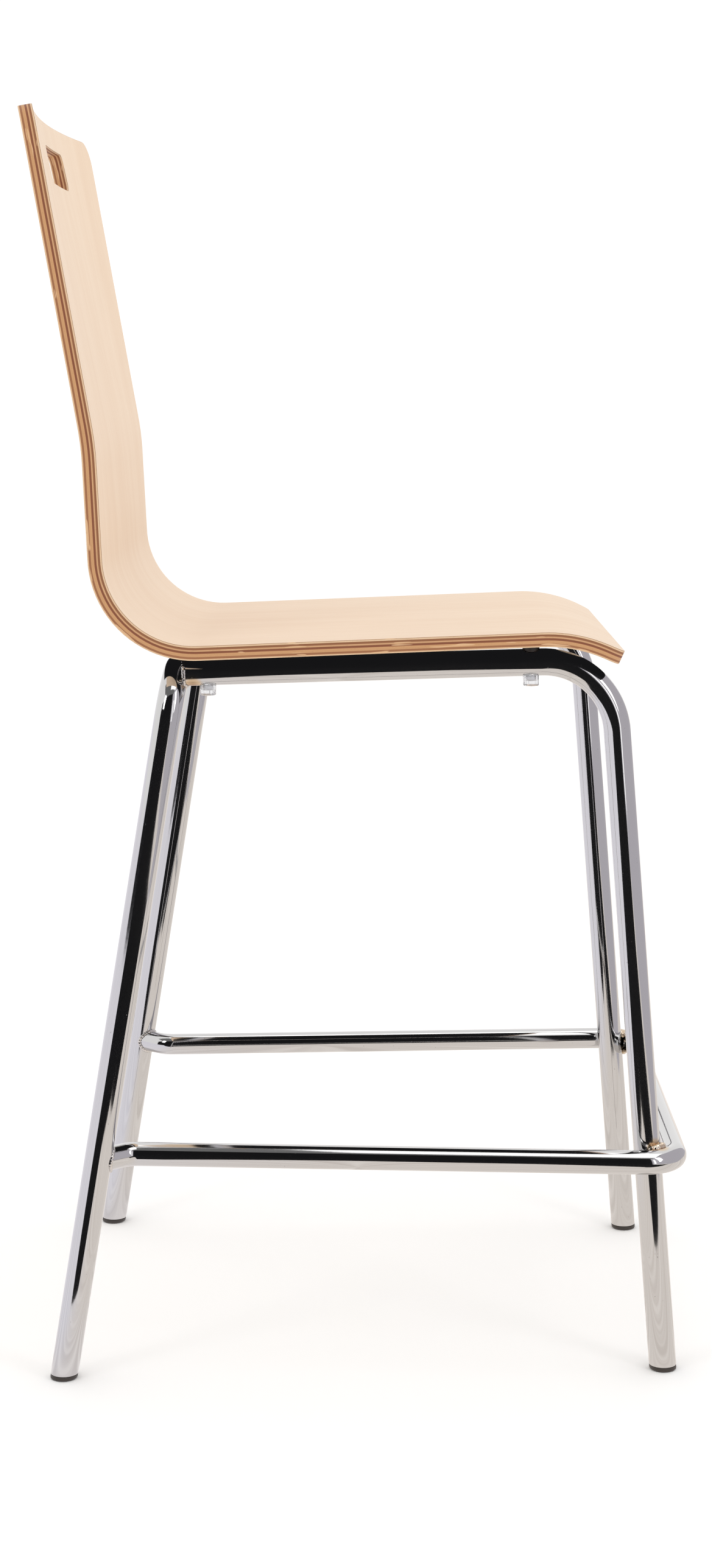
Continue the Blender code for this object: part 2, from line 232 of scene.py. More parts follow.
# %% Wire
class Wire:
    """One socket of a material's node tree."""

    def __init__(self, tree, socket):
        self.tree = tree
        self.socket = socket

    def node(self, kind, settings, inputs, output=0):
        made = self.tree.nodes.new(kind)
        for name, value in settings.items():
            if name == "stops":
                paint_ramp(made.color_ramp, value)
            else:
                setattr(made, name, value)
        for name, value in inputs.items():
            if isinstance(value, Wire):
                self.tree.links.new(value.socket, made.inputs[name])
            else:
                made.inputs[name].default_value = value
        return Wire(self.tree, made.outputs[output])

    def math(self, operation, first, second=0.0):
        return self.node("ShaderNodeMath", {"operation": operation}, {0: first, 1: second})

    def __add__(self, other):
        return self.math("ADD", self, other)

    def __radd__(self, other):
        return self.math("ADD", other, self)

    def __sub__(self, other):
        return self.math("SUBTRACT", self, other)

    def __rsub__(self, other):
        return self.math("SUBTRACT", other, self)

    def __mul__(self, other):
        return self.math("MULTIPLY", self, other)

    def __rmul__(self, other):
        return self.math("MULTIPLY", other, self)

    def __truediv__(self, other):
        return self.math("DIVIDE", self, other)

    def scaled(self, x, y, z):
        """A vector stretched along each axis."""
        return self.node("ShaderNodeVectorMath", {"operation": "MULTIPLY"}, {0: self, 1: (x, y, z)})

    def noise(self, scale, detail=2.0, roughness=0.5):
        inputs = {"Vector": self, "Scale": scale, "Detail": detail, "Roughness": roughness}
        return self.node("ShaderNodeTexNoise", {}, inputs, "Fac")

    def between(self, low, high):
        """0 below low, 1 above high and a soft step between."""
        inputs = {"Value": self, "From Min": low, "From Max": high}
        return self.node("ShaderNodeMapRange", {"interpolation_type": "SMOOTHSTEP"}, inputs)

    def blend(self, first, second):
        """Mixes two colours, with this wire as the share of the second."""
        inputs = {0: self, 6: rgba(first), 7: rgba(second)}
        return self.node("ShaderNodeMix", {"data_type": "RGBA"}, inputs, 2)

    def part(self, axis):
        """One component of a vector."""
        split = self.node("ShaderNodeSeparateXYZ", {}, {0: self})
        return Wire(self.tree, split.socket.node.outputs[axis])

    def near(self, point, reach):
        """1 at a point, falling to 0 at a distance of reach."""
        settings = {"operation": "DISTANCE"}
        distance = self.node("ShaderNodeVectorMath", settings, {0: self, 1: tuple(point)}, "Value")
        return 1 - distance.between(0.15 * reach, reach)

    def bumped(self, strength, distance):
        inputs = {"Height": self, "Strength": strength, "Distance": distance}
        return self.node("ShaderNodeBump", {}, inputs)


def rgba(colour):
    return colour if isinstance(colour, Wire) else (*colour, 1.0)


def paint_ramp(ramp, stops):
    """Sets a colour ramp's stops from (position, colour) pairs."""
    while len(ramp.elements) > 1:
        ramp.elements.remove(ramp.elements[-1])
    for index, (position, colour) in enumerate(stops):
        stop = ramp.elements[0] if index == 0 else ramp.elements.new(position)
        stop.position = position
        stop.color = rgba(colour)


def new_finish(name, **constants):
    """A material with these values set on its shader. Returns it with its shader and its coordinates."""
    finish = bpy.data.materials.new(name)
    finish.use_nodes = True
    shader = finish.node_tree.nodes["Principled BSDF"]
    for socket, value in constants.items():
        shader.inputs[socket.replace("_", " ")].default_value = value
    coordinates = finish.node_tree.nodes.new("ShaderNodeTexCoord")
    return finish, shader, Wire(finish.node_tree, coordinates.outputs["Object"])


def feed(shader, **wires):
    """Links wires to the shader's sockets, such as Base_Color."""
    for socket, wire in wires.items():
        wire.tree.links.new(wire.socket, shader.inputs[socket.replace("_", " ")])


# %% [markdown]
# ## Camera
# The chair is seen square from its left side, by a level camera a little above the seat, from about 2.4 m.
# Tipping the camera down to take in the feet would make the upright lines lean together. A studio camera
# shifts its lens down instead, and so does this one. The shifts are shares of the taller side of the view.

# %% Camera
CAMERA_AT = (-2.356, MIDDLE, 0.814)
LENS_MM = 60.99
LENS_SHIFT = (-45.5 / 2576, -673 / 2576)

camera_data = bpy.data.cameras.new("camera")
camera_data.sensor_width = 36.0
camera_data.lens = LENS_MM
camera_data.shift_x = LENS_SHIFT[0]
camera_data.shift_y = LENS_SHIFT[1]
camera = bpy.data.objects.new("camera", camera_data)
camera.location = CAMERA_AT
camera.rotation_euler = (math.radians(90), 0, math.radians(-90))
scene.collection.objects.link(camera)
scene.camera = camera
print("field of view:", round(math.degrees(camera_data.angle), 1), "degrees")

# %% [markdown]
# ## Studio
# Chrome has no colour of its own: it shows the room. In a white studio a chrome tube looks white all over, so
# a studio hangs black flags and grey boards around it, and their reflections draw the dark stripes that give
# the tube its shape. An image of a room would do this too, but cards can be moved one by one. They are seen
# by reflections only, so they never stand in the view. The floor gets such cards as well: a glow with soft
# streaks, warm towards the front and cool towards the rear, and a black flag that darkens the tubes' lower
# sides. Three weak softboxes then shape the plywood.

# %% Cards
def board(name, corners, colour):
    """A flat card through its corners, which glows and is seen by reflections only."""
    bpy.ops.object.select_all(action="DESELECT")
    bpy.ops.mesh.primitive_circle_add(vertices=len(corners), fill_type="NGON")
    card = bpy.context.object
    card.name = name
    card.data.name = name
    for vert, corner in zip(card.data.vertices, corners):
        vert.co = corner
    glow, shader, at = new_finish(name, Base_Color=(0, 0, 0, 1), Roughness=1.0, Specular_IOR_Level=0.0)
    shader.inputs["Emission Color"].default_value = (*colour, 1)
    shader.inputs["Emission Strength"].default_value = 1.0
    card.data.materials.append(glow)
    card.visible_camera = False
    card.visible_diffuse = False
    card.visible_shadow = False
    card.visible_transmission = False
    return shader, at


def on_floor(points, height):
    """The corners of a level card from its plan."""
    return [(x, y, height) for x, y in points]


# %% World and floor
world = bpy.data.worlds.new("studio")
world.use_nodes = True
world.node_tree.nodes["Background"].inputs["Color"].default_value = (1.0, 0.995, 0.99, 1)
world.node_tree.nodes["Background"].inputs["Strength"].default_value = 1.06
scene.world = world
scene.view_settings.view_transform = "Standard"

bpy.ops.object.select_all(action="DESELECT")
bpy.ops.mesh.primitive_plane_add(size=120)
floor = bpy.context.object
floor.name = "floor"
floor_finish, floor_shader, floor_at = new_finish("pale_floor", Roughness=0.8, Specular_IOR_Level=0.0)
cloud = floor_at.noise(0.6, 3.0)
feed(floor_shader, Base_Color=cloud.blend((0.975, 0.972, 0.967), (0.985, 0.982, 0.977)))
floor.data.materials.append(floor_finish)

# %% Flags and boards round the chair
BLACK = (0.012, 0.012, 0.013)
GREY = (0.60, 0.575, 0.62)
DIM = (0.2, 0.2, 0.2)
BRIGHT = (1.7, 1.7, 1.7)
FLOOR_EDGE = [(-60, -60), (60, -60), (60, 60), (-60, 60)]
FLOOR_CARD = [(-6.0, -1.5), (-1.5, -1.15), (-0.75, -1.15), (-0.55, -0.90), (-0.10, -0.95), (0.30, -1.35)]
FLOOR_CARD += [(6.0, -2.2), (6.0, -6.0), (-6.0, -6.0)]
FLOOR_FLAG = [(-0.50, -0.90), (-0.50, -0.25), (-0.80, -0.12), (-0.80, 0.08), (-0.42, 0.20), (-0.42, 0.36)]
FLOOR_FLAG += [(-0.90, 0.85), (-2.20, 1.70), (-6.00, 4.00), (-6.00, -2.50), (-1.90, -0.95)]
WALL_X = -2.9
WALL_TOP = 3.4

glow_shader, glow_at = board("floor_glow", on_floor(FLOOR_EDGE, 0.0005), GREY)
along_y = glow_at.part("Y")
bearing = along_y.math("ARCTAN2", along_y, glow_at.part("X") + 0.2)
streak_inputs = {"W": bearing, "Scale": 9.0, "Detail": 4.0}
streaky = bearing.node("ShaderNodeTexNoise", {"noise_dimensions": "1D"}, streak_inputs)
warm = streaky.between(0.30, 0.70).blend((0.86, 0.79, 0.73), (1.06, 0.99, 0.93))
cool = streaky.between(0.30, 0.70).blend((0.93, 0.91, 0.98), (1.08, 1.06, 1.12))
feed(glow_shader, Emission_Color=along_y.between(0.0, 0.5).blend(warm, cool))
board("floor_card", on_floor(FLOOR_CARD, 0.001), GREY)
board("floor_flag", on_floor(FLOOR_FLAG, 0.002), BLACK)
wall_corners = [(WALL_X, -1.2, 0), (WALL_X, 5.5, 0), (WALL_X, 5.5, WALL_TOP), (WALL_X, -1.2, WALL_TOP)]
board("wall_flag", wall_corners, BLACK)
board("front_board", [(-4, -1.25, 0), (4, -3.0, 0), (4, -3.0, 4), (-4, -1.25, 4)], GREY)
board("ceiling_board", on_floor([(WALL_X, -3), (-0.25, -3), (-0.25, 3), (WALL_X, 3)], WALL_TOP), DIM)

# %% [markdown]
# ## Flags under the seat
# The rails run close under the shell and their tops come out nearly black. Light that leaks in under a
# thin shell would turn them beige, so two more black flags lie just below it, again for reflections only.
# They are painted shade: the rails' tops mirror them in place of the shell's shaded underside.

# %% Under the seat
UNDER_X = 0.205
UNDER_DROP = 0.0128
UNDER_PLAN = [(-0.176, -0.20), (-UNDER_X, -0.145), (-UNDER_X, 0.13)]
UNDER_PLAN += [(UNDER_X, 0.13), (UNDER_X, -0.145), (0.176, -0.20)]
under = [place(x, forward, seat_z(forward) - UNDER_DROP) for x, forward in UNDER_PLAN]
front_under = under[2:4] + [place(UNDER_X, 0.19, 0.574), place(-UNDER_X, 0.19, 0.574)]
# Painted shade: black cards that the rails' tops mirror in place of the shell's shaded underside.
board("seat_shade_flag", under, BLACK)
board("seat_front_shade_flag", front_under, BLACK)

# %% Bright cards
board("ceiling_light", on_floor([(-1.8, -1.6), (0.6, -1.6), (0.6, 0.3), (-1.8, 0.3)], 3.0), BRIGHT)
streak_corners = [(-2.0, -1.05, 0.2), (-1.85, -1.2, 0.2), (-1.85, -1.2, 1.7), (-2.0, -1.05, 1.7)]
board("streak_board", streak_corners, BRIGHT)


# %% Softboxes
def softbox(name, at, towards, size, power):
    light = bpy.data.lights.new(name, "AREA")
    light.shape = "RECTANGLE"
    light.size = size[0]
    light.size_y = size[1]
    light.energy = power
    lamp = bpy.data.objects.new(name, light)
    lamp.location = at
    lamp.rotation_euler = (Vector(towards) - Vector(at)).to_track_quat("-Z", "Y").to_euler()
    scene.collection.objects.link(lamp)


CHAIR = (0, 0, 0.55)
softbox("left_softbox", (-1.5, 1.5, 1.7), CHAIR, (0.5, 0.9), 3.6)
softbox("right_softbox", (-1.5, -1.6, 1.45), CHAIR, (0.5, 1.6), 5.0)
softbox("top_softbox", (0.3, 0, 2.6), CHAIR, (1.2, 1.2), 2.5)

# %% [markdown]
# ## Chrome
# Bright nickel-chrome plate on steel. It is a mirror with hair-fine polishing marks, a few pinholes and
# places where it was wiped. Beside a weld the heat has turned it straw and bronze. The colour is well below
# white because chrome gives back only about two thirds of the light. Painting the heat marks on the mesh
# would need an image, so each weld's place and reach are listed, and the distance to it makes the tint.

# %% Chrome finish
# Each entry is a weld's place and the reach of its heat.
WELD_POINTS = []
for _, side in SIDES:
    WELD_POINTS.append((place(side * 0.193, front_leg(0.186) + 0.008, 0.183), 0.013))
    WELD_POINTS.append((place(side * 0.182, HOOP_TOP_FORWARD + 0.014, 0.564), 0.014))
    WELD_POINTS.append((place(side * 0.188, rear_leg(0.175)[1] + 0.010, 0.175), 0.009))

chrome, chrome_shader, chrome_at = new_finish("chrome", Metallic=1.0)
cloudy = chrome_at.noise(7.0, 3.0)
fine = chrome_at.noise(160.0, 2.0)
plate = cloudy.blend((0.595, 0.590, 0.590), (0.63, 0.625, 0.625))
heat = None
for point, reach in WELD_POINTS:
    spot = chrome_at.near(point, reach)
    heat = spot if heat is None else heat.math("MAXIMUM", heat, spot)
straw = (heat * 1.3).between(0.15, 0.75).blend(plate, (0.64, 0.50, 0.34))
bronze = heat.between(0.45, 1.0).blend(straw, (0.40, 0.25, 0.15))
pits = chrome_at.noise(620.0, 1.0).between(0.77, 0.82)
feed(
    chrome_shader,
    Base_Color=(pits * 0.5).blend(bronze, (0.25, 0.24, 0.24)),
    Roughness=0.045 + cloudy * 0.03 + fine * 0.02 + heat * 0.12 + pits * 0.2,
    Normal=(fine * 0.3 + pits * -1.0).bumped(0.05, 0.0004),
)
print("chrome nodes:", len(chrome.node_tree.nodes))

# %% [markdown]
# ## Bent tubes
# A tube bender feeds straight tube and swings it round a former. The modelling goes the same way: a circle is
# drawn at the tube's end, extruded along each straight run and spun round each bend, so the path has true
# straights and true arcs. A curve with a bevel would be quicker, but its bends pinch and its ends are hard to
# cut square to the floor.

# %% Tube bender
TUBE_SIDES = 64
BEND_STEP = math.radians(3)


def extrude(shift):
    bpy.ops.mesh.extrude_region_move(TRANSFORM_OT_translate={"value": shift})


def bent_tube(name, corners, radii, tube_radius):
    """An open skin of a tube, along straight runs whose corners are bent to the given radii."""
    bpy.ops.object.select_all(action="DESELECT")
    heading = (corners[1] - corners[0]).normalized()
    turn_to = heading.to_track_quat("Z", "Y").to_euler()
    bpy.ops.mesh.primitive_circle_add(
        vertices=TUBE_SIDES, radius=tube_radius, location=corners[0], rotation=turn_to
    )
    tube = settle()
    tube.name = name
    tube.data.name = name
    bpy.ops.object.mode_set(mode="EDIT")
    bpy.ops.mesh.select_mode(type="EDGE")
    bpy.ops.mesh.select_all(action="SELECT")
    at = corners[0]
    for before, corner, after, radius in zip(corners, corners[1:], corners[2:], radii):
        into = (corner - before).normalized()
        out = (after - corner).normalized()
        turn = into.angle(out)
        reach = radius * math.tan(turn / 2)
        start = corner - into * reach
        extrude(start - at)
        axis = into.cross(out).normalized()
        centre = start + axis.cross(into) * radius
        bpy.ops.mesh.spin(steps=max(4, round(turn / BEND_STEP)), angle=-turn, center=centre, axis=axis)
        at = corner + out * reach
    extrude(corners[-1] - at)
    done()
    recalculate(tube)
    return tube


def cut_level(tube):
    """Cuts the feet flat, a glide's height above the floor."""
    edit(tube)
    bpy.ops.mesh.select_all(action="SELECT")
    bpy.ops.mesh.bisect(plane_co=(0, 0, FLOOR_GAP), plane_no=(0, 0, 1), clear_inner=True)
    done()


def plugged(tube, name):
    """A solid copy of an open tube, to cut other pieces with."""
    solid = twin(tube, name, (0, 0, 0))
    edit(solid)
    bpy.ops.mesh.select_all(action="SELECT")
    bpy.ops.mesh.fill_holes(sides=0)
    bpy.ops.mesh.normals_make_consistent(inside=False)
    done()
    return solid


def wall(tube):
    modify(tube, "SOLIDIFY", thickness=WALL, offset=-1.0, use_even_offset=True)


# %% [markdown]
# ## The rear hoop
# Both rear legs and the crossbar under the seat are one tube. It is drawn from below the left foot up to the
# bend, across, and down again, and both feet are then cut flat so that they stand on the glides.

# %% Rear hoop
BELOW = -0.02
HOOP_BEND = 0.040


def hoop_corners():
    low = rear_leg(BELOW)
    return [
        place(-low[0], low[1], BELOW),
        place(-HOOP_X, HOOP_TOP_FORWARD, HOOP_TOP_Z),
        place(HOOP_X, HOOP_TOP_FORWARD, HOOP_TOP_Z),
        place(low[0], low[1], BELOW),
    ]


hoop = bent_tube("bent_hoop", hoop_corners(), [HOOP_BEND, HOOP_BEND], LEG_R)
cut_level(hoop)
hoop_solid = plugged(hoop, "hoop_solid")
wall(hoop)
smooth(hoop)
report(hoop)

# %% [markdown]
# ## The side tubes
# Each side has one tube too: front leg, a bend and the rail that carries the seat. The rail's rear end butts
# on the hoop, and a fitter files it to the hoop's curve before welding. Taking the solid hoop out of the rail
# with a Boolean does the same. The rail's end is closed first, so the filed end is closed too. The left tube
# is made and the right one is its copy.

# %% Side tubes
SIDE_BEND = 0.060


def side_corners(sideways, rear_end):
    corner_z = rail_z(front_leg(HOOP_TOP_Z))
    return [
        place(sideways, front_leg(BELOW), BELOW),
        place(sideways, front_leg(corner_z), corner_z),
        place(sideways, rear_end, rail_z(rear_end)),
    ]


left_tube = bent_tube("left_leg_and_rail", side_corners(-SIDE_X, RAIL_END), [SIDE_BEND], LEG_R)
cut_level(left_tube)
edit(left_tube)
rear_y = place(0, RAIL_END, 0).y - 0.002
rim = pick(left_tube, "edges", lambda e: middle(e).y > rear_y and e.is_boundary)
print("edges round the rail's rear end:", rim)
bpy.ops.mesh.edge_face_add()
done()
wall(left_tube)
right_tube = twin(left_tube, "right_leg_and_rail", (2 * SIDE_X, 0, 0))
for side_tube in (left_tube, right_tube):
    carve(side_tube, hoop_solid, keep_cutter=True)
report(left_tube, right_tube)

# %% [markdown]
# ## The footrest ring
# A thinner tube runs from one rear leg round the outside of the front legs to the other rear leg. Its front
# corners are bent just tightly enough for the front legs to nest in them, and its ends turn out to meet the
# rear legs. The ends are filed to the legs in the same way as the rails.

# %% Footrest ring
RING_Z = 0.175
RING_BAR = 0.23858
RING_FRONT_X = 0.20386
RING_KNEE = (0.178, -0.208)
RING_BENDS = [0.020, 0.026, 0.026, 0.020]


def ring_corners():
    leg = rear_leg(RING_Z)
    return [
        place(-leg[0], leg[1], RING_Z),
        place(-RING_KNEE[0], RING_KNEE[1], RING_Z),
        place(-RING_FRONT_X, RING_BAR, RING_Z),
        place(RING_FRONT_X, RING_BAR, RING_Z),
        place(RING_KNEE[0], RING_KNEE[1], RING_Z),
        place(leg[0], leg[1], RING_Z),
    ]


ring = bent_tube("bent_footrest_ring", ring_corners(), RING_BENDS, RING_R)
wall(ring)
carve(ring, hoop_solid, keep_cutter=True)
smooth(ring)
report(ring)

dress(hoop, chrome, "chrome", "rear_hoop")
dress(left_tube, chrome, "chrome", "left_side_tube")
dress(right_tube, chrome, "chrome", "right_side_tube")
dress(ring, chrome, "chrome", "footrest_ring")

# %% [markdown]
# ## The plywood's finish
# A bent shell is a stack of veneers glued in a press. Its faces are pale maple under satin lacquer, with
# faint grain along the length. Its edges show every veneer: tan, brown and red-brown, some split or patched.
# Grain made on plain object coordinates would run straight on through the bend. So the mesh will carry the
# flat sheet's own coordinates, across, along and through: the grain bends with the shell, and the depth
# through the sheet picks the veneer.

# %% Plywood finish
SHELL_T = 0.012
VENEERS = [
    (0.000, (0.720, 0.540, 0.370)),
    (0.012, (0.720, 0.540, 0.370)),
    (0.016, (0.280, 0.150, 0.080)),
    (0.034, (0.310, 0.165, 0.085)),
    (0.046, (0.760, 0.560, 0.370)),
    (0.128, (0.700, 0.480, 0.290)),
    (0.146, (0.240, 0.090, 0.035)),
    (0.275, (0.270, 0.105, 0.040)),
    (0.295, (0.600, 0.340, 0.170)),
    (0.385, (0.560, 0.300, 0.145)),
    (0.402, (0.190, 0.052, 0.020)),
    (0.530, (0.235, 0.068, 0.027)),
    (0.550, (0.580, 0.310, 0.135)),
    (0.745, (0.560, 0.300, 0.135)),
    (0.765, (0.300, 0.120, 0.048)),
    (0.890, (0.340, 0.140, 0.056)),
    (0.910, (0.720, 0.470, 0.270)),
    (1.000, (0.740, 0.540, 0.350)),
]

plywood, ply_shader, ply_object = new_finish(
    "maple_plywood", Coat_Weight=0.05, Coat_Roughness=0.3, Specular_IOR_Level=0.25
)
flat = ply_object.node("ShaderNodeAttribute", {"attribute_name": "flat"}, {}, "Vector")
through = flat.part("Z") / -SHELL_T + 1.0

broad = flat.scaled(1, 0.07, 1).noise(38.0, 4.0, 0.6)
fibres = flat.scaled(1, 0.035, 1).noise(420.0, 3.0, 0.7)
patches = flat.scaled(1, 0.5, 1).noise(9.0, 2.0)
face_tone = (broad * 0.75 + fibres * 0.45 + patches * 0.3 - 0.25).between(0.25, 0.75)
face = face_tone.blend((0.800, 0.622, 0.455), (0.760, 0.565, 0.395))

wander = flat.scaled(0, 1, 0).noise(26.0, 3.0) - 0.5
layer = through + wander * 0.018
plies = layer.node("ShaderNodeValToRGB", {"stops": VENEERS}, {0: layer}, "Color")
streaks = flat.scaled(1, 1, 30).noise(60.0, 4.0, 0.7)
streaked = (streaks * 0.34).blend(plies, (0.30, 0.14, 0.07))
pores = flat.scaled(1, 1, 2.2).noise(900.0, 2.0).between(0.60, 0.72)
edge = (pores * 0.22).blend(streaked, (0.20, 0.09, 0.045))
splice = flat.scaled(0, 1, 14).noise(24.0, 1.0).between(0.665, 0.68)
edge = (splice * 0.85).blend(edge, (0.66, 0.41, 0.22))

on_face = 1 - through.between(0.0, 0.008)
on_back = through.between(0.992, 1.0)
skin = on_face.math("MAXIMUM", on_face, on_back)
feed(
    ply_shader,
    Base_Color=skin.blend(edge, face),
    Roughness=0.52 - skin * 0.14 + fibres * 0.08,
    Normal=(fibres * 0.5 + broad * 0.5).bumped(0.04, 0.0006),
)
print("veneer stops:", len(VENEERS))

# %% [markdown]
# ## The seat shell
# The real shell is pressed from flat veneers, and this one from a flat sheet. Blender's own bend needs a
# window and only makes one arc, so each point of the sheet is moved onto the chair's side outline instead.
# The outline is drawn first: four straight lines, with a true arc at each of the three corners between them.

# %% Side outline
TOP_Z = 1.0360
FRONT_EDGE = 0.1966
FRONT_EDGE_Z = 0.5886
FRONT_FALL = math.tan(math.radians(25))
BACK_REAR = -0.2272
BACK_REAR_Z = 0.6505
LOWER_LEAN = 0.0568
LUMBAR_Z = 0.757
UPPER_LEAN = 0.1853
OUTLINE_BENDS = [0.125, 0.074, 0.250]
OUTLINE_STEP = math.radians(1.5)


def side_outline():
    """Points (forward, height) of the sitting face, from the front edge to the top, with true arcs."""
    crest = (FRONT_EDGE_Z + FRONT_FALL * FRONT_EDGE - seat_z(0)) / (SEAT_SLOPE + FRONT_FALL)
    heel = BACK_REAR - LOWER_LEAN * (seat_z(BACK_REAR) - BACK_REAR_Z)
    lumbar = BACK_REAR - LOWER_LEAN * (LUMBAR_Z - BACK_REAR_Z)
    corners = [
        Vector((FRONT_EDGE, FRONT_EDGE_Z)),
        Vector((crest, seat_z(crest))),
        Vector((heel, seat_z(heel))),
        Vector((lumbar, LUMBAR_Z)),
        Vector((lumbar - UPPER_LEAN * (TOP_Z - LUMBAR_Z), TOP_Z)),
    ]
    points = [corners[0]]
    for before, corner, after, radius in zip(corners, corners[1:], corners[2:], OUTLINE_BENDS):
        into = (corner - before).normalized()
        out = (after - corner).normalized()
        turn = into.angle(out)
        start = corner - into * radius * math.tan(turn / 2)
        inward = (out - into * into.dot(out)).normalized()
        steps = round(turn / OUTLINE_STEP)
        for k in range(steps + 1):
            angle = turn * k / steps
            points.append(start + into * radius * math.sin(angle) + inward * radius * (1 - math.cos(angle)))
    return points + [corners[-1]]


outline = side_outline()
lengths = [0.0]
for before, after in zip(outline, outline[1:]):
    lengths.append(lengths[-1] + (after - before).length)
SHEET_L = lengths[-1]
SHEET_W = 0.410
print("the flat sheet is", round(SHEET_W, 3), "by", round(SHEET_L, 4), "m")


# %% Along the outline
def on_outline(along):
    """The place and the direction of the side outline at a length along it."""
    k = max(i for i, length in enumerate(lengths[:-1]) if length <= along + 1e-9)
    part = (along - lengths[k]) / (lengths[k + 1] - lengths[k])
    here = (outline[k + 1] - outline[k]).normalized()
    turned = [here]
    if k > 0:
        turned.append((outline[k] - outline[k - 1]).normalized())
    if k + 2 < len(outline):
        turned.append((outline[k + 2] - outline[k + 1]).normalized())
    first = (here + turned[1]).normalized() if k > 0 else here
    last = (here + turned[-1]).normalized() if k + 2 < len(outline) else here
    return outline[k].lerp(outline[k + 1], part), first.lerp(last, part).normalized()


# %% [markdown]
# ## The flat sheet
# On a real chair a router cuts the shell's outline, its slot and the holes for the fixings. Here the sheet
# is a block whose upright corner edges are rounded with a bevel, and bars are taken out of it. Drawing the
# outline as a curve would work too, but the bevel keeps each corner's radius a plain number. The last bevel
# breaks every sharp edge a little, as sandpaper does, so that the edges catch the light.

# %% Flat sheet
TOP_CORNER = 0.024
FRONT_CORNER = 0.016
SLOT_W = 0.116
SLOT_H = 0.033
SLOT_CORNER = 0.008
SLOT_Z = 0.9965
EASED = 0.0007


def block(name, low, high):
    """A box between two corners, with its place in its mesh."""
    bpy.ops.object.select_all(action="DESELECT")
    low = Vector(low)
    high = Vector(high)
    bpy.ops.mesh.primitive_cube_add(size=1, location=(low + high) / 2, scale=high - low)
    made = settle()
    made.name = name
    made.data.name = name
    return made


def round_upright_edges(obj, radius, wanted, segments=12):
    """Rounds the box's upright edges whose middle passes the test."""
    edit(obj)
    pick(obj, "edges", lambda e: abs(e.verts[0].co.z - e.verts[1].co.z) > 0.004 and wanted(middle(e)))
    bpy.ops.mesh.bevel(offset=radius, segments=segments, affect="EDGES")
    done()


sheet = block("seat_and_back", (-SHEET_W / 2, 0, 0), (SHEET_W / 2, SHEET_L, SHELL_T))
round_upright_edges(sheet, FRONT_CORNER, lambda at: at.y < 0.1)
round_upright_edges(sheet, TOP_CORNER, lambda at: at.y > SHEET_L - 0.01 and abs(at.x) > 0.1)
slot_along = SHEET_L - (TOP_Z - SLOT_Z) / math.cos(math.atan(UPPER_LEAN))
slot = block(
    "slot_cutter",
    (-SLOT_W / 2, slot_along - SLOT_H / 2, -0.01),
    (SLOT_W / 2, slot_along + SLOT_H / 2, 0.03),
)
round_upright_edges(slot, SLOT_CORNER, lambda at: True, 10)
carve(sheet, slot)


def upright(name, centre, radius, low, high, sides=40):
    """An upright round bar between two heights."""
    bpy.ops.object.select_all(action="DESELECT")
    at = (centre[0], centre[1], (low + high) / 2)
    bpy.ops.mesh.primitive_cylinder_add(vertices=sides, radius=radius, depth=high - low, location=at)
    made = settle()
    made.name = name
    made.data.name = name
    return made


def along_at(forward):
    """The length along the side outline at a place on the seat's straight stretch."""
    k = max(i for i, point in enumerate(outline) if point.x > forward)
    return lengths[k] + (outline[k] - Vector((forward, seat_z(forward)))).length


BOLT_FORWARDS = (0.1205, -0.1436)
POCKET_R = 0.0053
POCKET_DEPTH = 0.0094
for forward in BOLT_FORWARDS:
    for _, side in SIDES:
        hole_at = (side * SIDE_X, along_at(forward + 0.0003))
        carve(sheet, upright("pocket", hole_at, POCKET_R, -0.002, POCKET_DEPTH))
edit(sheet)
bpy.ops.mesh.edges_select_sharp(sharpness=math.radians(60))
bpy.ops.mesh.bevel(offset=EASED, segments=3, affect="EDGES")
done()
report(sheet)

# %% [markdown]
# ## Slicing and pressing
# A flat block has no points along its length to bend with, so it is first bisected into narrow strips both
# ways. Before a point moves, its place in the flat sheet is kept in an attribute called flat, which the
# plywood's finish reads. Then each point goes to its place on the side outline, and the back is dished: its
# middle goes rearwards, more and more towards the top, and its two sides stay where they are.

# %% Slice and press
ACROSS = 24
ALONG_STEP = 0.0055
DISH = 0.014
DISH_FROM = 0.690

edit(sheet)
for k in range(1, ACROSS):
    bpy.ops.mesh.select_all(action="SELECT")
    bpy.ops.mesh.bisect(plane_co=((k / ACROSS - 0.5) * SHEET_W, 0, 0), plane_no=(1, 0, 0))
for k in range(1, int(SHEET_L / ALONG_STEP)):
    bpy.ops.mesh.select_all(action="SELECT")
    bpy.ops.mesh.bisect(plane_co=(0, k * ALONG_STEP, 0), plane_no=(0, 1, 0))
done()

flat_at = sheet.data.attributes.new("flat", "FLOAT_VECTOR", "POINT")
for vert in sheet.data.vertices:
    flat_at.data[vert.index].vector = vert.co
    point, heading = on_outline(min(max(vert.co.y, 0.0), SHEET_L))
    outwards = Vector((-heading.y, heading.x)) * (SHELL_T - vert.co.z)
    rise = min(1.0, max(0.0, (point.y - DISH_FROM) / (TOP_Z - DISH_FROM)))
    dish = DISH * rise * (1 - (2 * vert.co.x / SHEET_W) ** 2)
    vert.co = place(vert.co.x, point.x + outwards.x - dish, point.y + outwards.y)
sheet.data.update()
smooth(sheet, 30)
dress(sheet, plywood, "maple_plywood", "seat_shell")
report(sheet)

# %% [markdown]
# ## The small parts' finishes
# The glides and spacers are moulded black plastic with a fine grain, the caps are clear plastic gone slightly
# hazy, the bolts are zinc-plated steel, and the weld beads are plated over like the tubes but stay rougher.
# Each one is a base colour, a roughness and a little bump from one noise, because pieces this small need no
# more. The beads on the front half of the chair are golden and those at the rear are silver.

# %% Other finishes
black, black_shader, black_at = new_finish("black_plastic", IOR=1.5)
grain = black_at.noise(500.0, 2.0)
feed(
    black_shader,
    Base_Color=grain.blend((0.020, 0.015, 0.013), (0.045, 0.034, 0.028)),
    Roughness=0.36 + grain * 0.2,
    Normal=grain.bumped(0.15, 0.0003),
)

